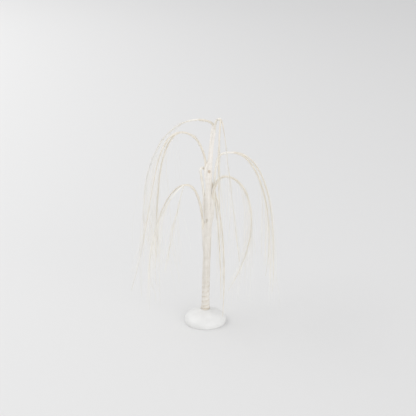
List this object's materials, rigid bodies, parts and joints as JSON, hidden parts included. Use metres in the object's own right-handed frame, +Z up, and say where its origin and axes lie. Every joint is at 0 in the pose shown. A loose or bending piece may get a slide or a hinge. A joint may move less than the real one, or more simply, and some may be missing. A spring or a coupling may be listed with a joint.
{
  "type": "artificial weeping willow tree on a domed base",
  "caption": "Small model of a bare weeping willow: bound trunk on a domed base, arching boughs, and fine pale strands that hang down all round.",
  "frame": {"origin": "middle of the flat underside of the base, on the surface that the tree stands on", "axes": "+Z up along the tree, -Y towards the side that the tree is seen from, +X to the right of that side"},
  "size_m": [0.1729, 0.1242, 0.2507],
  "materials": {
    "cast_base": "matt",
    "wrapped_trunk": "matt",
    "twisted_bough": "satin",
    "fibre_strand": "satin"
  },
  "bodies": {
    "root": {"base": "cast_base", "trunk": "wrapped_trunk", "bough_top_left": "twisted_bough", "bough_high_left": "twisted_bough", "bough_low_left": "twisted_bough", "bough_near_right": "twisted_bough", "bough_high_right": "twisted_bough", "bough_low_right": "twisted_bough", "bough_top_front": "twisted_bough", "bough_back_high": "twisted_bough", "bough_back_right": "twisted_bough", "bough_back_left": "twisted_bough", "strands_top_left": "fibre_strand", "strands_high_left": "fibre_strand", "strands_low_left": "fibre_strand", "strands_near_right": "fibre_strand", "strands_high_right": "fibre_strand", "strands_low_right": "fibre_strand", "strands_top_front": "fibre_strand", "strands_back_high": "fibre_strand", "strands_back_right": "fibre_strand", "strands_back_left": "fibre_strand"}
  },
  "joints": []
}
